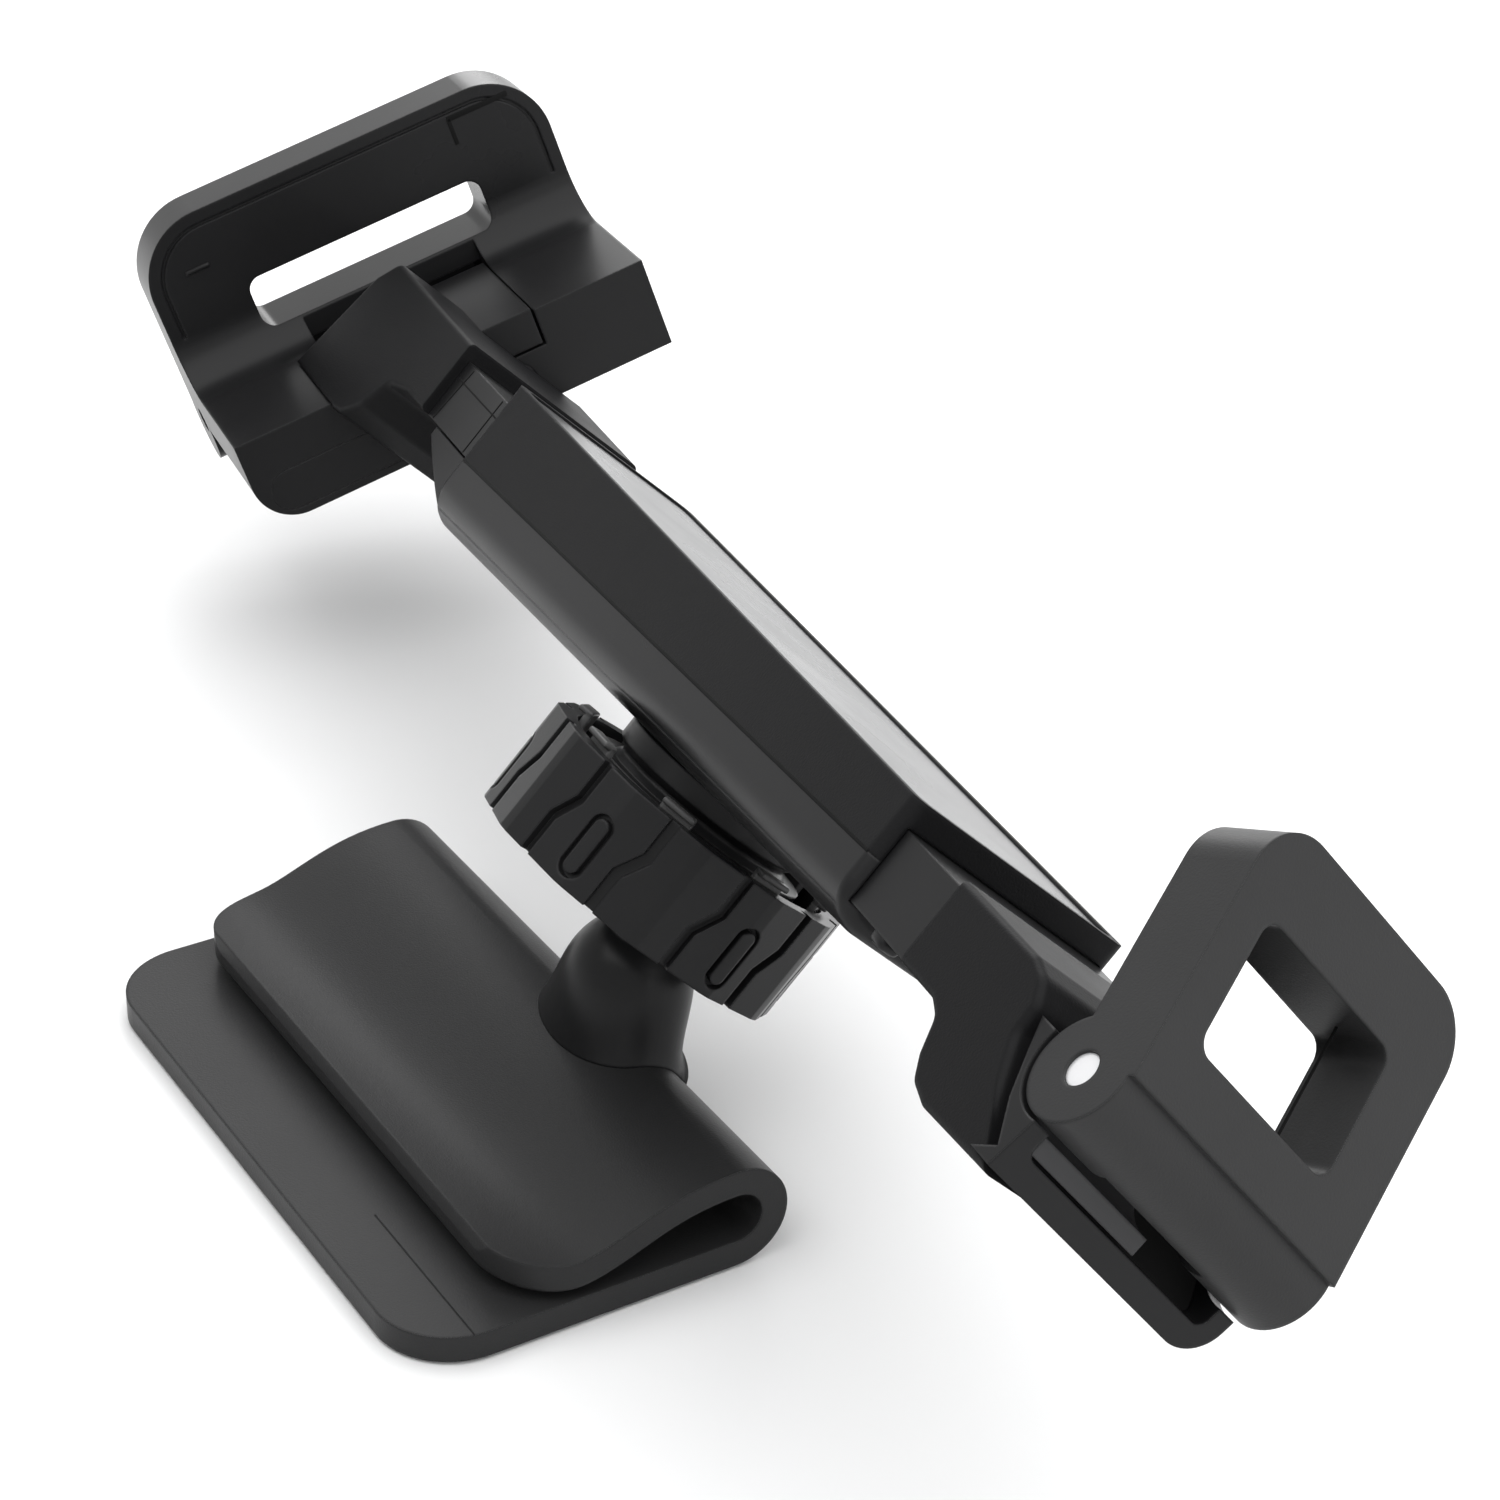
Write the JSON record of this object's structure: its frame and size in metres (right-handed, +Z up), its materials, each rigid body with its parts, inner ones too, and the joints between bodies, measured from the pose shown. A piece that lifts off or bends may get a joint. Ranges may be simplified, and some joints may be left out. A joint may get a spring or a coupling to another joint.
{
  "type": "tablet holder",
  "caption": "Clip-on tablet holder: folded leaf clip, ball joint with lobed lock ring, and a bar whose two claws slide out together, swivel and pinch a tablet.",
  "frame": {"origin": "on the underside of the clip's base pad, near its middle", "axes": "+X along the clip's fold towards the near claw, +Y from the clip's mouth to its fold, +Z up from the surface under the pad"},
  "size_m": [0.266, 0.117, 0.0859],
  "materials": {
    "black_satin": "fine satin grain",
    "black_smooth": "smooth satin, softly reflective",
    "panel_smooth": "smooth and semi-gloss",
    "ring_black": "satin with fine grooves",
    "pad_black": "dull soft pad",
    "inner_plastic": "plain moulded",
    "steel": "turned bright"
  },
  "bodies": {
    "clip": {"clip_leaf": "black_satin", "base_pad": "pad_black", "stem_screws": "steel", "ball_stem": "black_smooth"},
    "liner": {"ball_liner": "inner_plastic"},
    "socket": {"socket": "black_smooth", "swivel_plate": "inner_plastic", "swivel_screws": "steel"},
    "ring": {"lock_ring": "ring_black"},
    "body": {"back_shell": "black_smooth", "front_cover": "black_satin", "front_panel": "panel_smooth", "pinion_axle": "steel"},
    "pinion": {"pinion": "inner_plastic"},
    "arm_near": {"arm_near": "black_smooth", "stub_screw_near": "steel"},
    "arm_far": {"arm_far": "black_smooth", "stub_screw_far": "steel"},
    "claw_near": {"bracket_near": "black_satin", "foot_near": "black_smooth", "tongue": "black_smooth", "pin_near": "steel"},
    "claw_far": {"bracket_far": "black_satin", "ledge_far": "black_smooth", "pin_far": "steel"},
    "jaw_near": {"jaw_near": "black_satin"},
    "jaw_far": {"jaw_far": "black_smooth", "foot_insert": "black_smooth"}
  },
  "joints": [
    {"name": "ball_tilt", "type": "hinge", "parent": "clip", "child": "liner", "pos_m": [0.01336, 0.02467, 0.03609], "axis": [0.9752, -0.1949, 0.1045], "range_deg": [-2, 40]},
    {"name": "ball_roll", "type": "hinge", "parent": "liner", "child": "socket", "pos_m": [0.01336, 0.02467, 0.03609], "axis": [0.2135, 0.7068, -0.6744], "range_deg": [-2, 25]},
    {"name": "ring_turn", "type": "hinge", "parent": "socket", "child": "ring", "pos_m": [0.01336, 0.02467, 0.03609], "axis": [0.0576, 0.6801, 0.7309], "range_deg": [0, 90]},
    {"name": "body_turn", "type": "hinge", "parent": "socket", "child": "body", "pos_m": [0.01336, 0.02467, 0.03609], "axis": [0.0576, 0.6801, 0.7309], "range_deg": [-90, 90]},
    {"name": "near_slide", "type": "slide", "parent": "body", "child": "arm_near", "axis": [0.9752, -0.1949, 0.1045], "range_m": [-0.004, 0.018]},
    {"name": "far_slide", "type": "slide", "parent": "body", "child": "arm_far", "axis": [-0.9752, 0.1949, -0.1045], "range_m": [-0.004, 0.018]},
    {"name": "pinion_spin", "type": "hinge", "parent": "body", "child": "pinion", "pos_m": [0.00618, 0.03814, 0.04971], "axis": [0.0576, 0.6801, 0.7309], "range_deg": [-172, 39]},
    {"name": "near_swivel", "type": "hinge", "parent": "arm_near", "child": "claw_near", "pos_m": [0.08322, 0.02274, 0.05797], "axis": [0.9752, -0.1949, 0.1045], "range_deg": [-81, 9]},
    {"name": "far_swivel", "type": "hinge", "parent": "arm_far", "child": "claw_far", "pos_m": [-0.07574, 0.0545, 0.04093], "axis": [0.9752, -0.1949, 0.1045], "range_deg": [-61, 29]},
    {"name": "near_jaw_hinge", "type": "hinge", "parent": "claw_near", "child": "jaw_near", "pos_m": [0.11197, 0.01646, 0.06031], "axis": [0.2019, 0.5917, -0.7805], "range_deg": [-6, 26]},
    {"name": "far_jaw_hinge", "type": "hinge", "parent": "claw_far", "child": "jaw_far", "pos_m": [-0.13151, 0.06431, 0.03421], "axis": [0.1539, 0.9375, 0.3123], "range_deg": [0, 15]}
  ],
  "couplings": [
    {"joint": "far_slide", "follows": "near_slide", "ratio": 1},
    {"joint": "pinion_spin", "follows": "near_slide", "rad_per_m": -166.67}
  ]
}
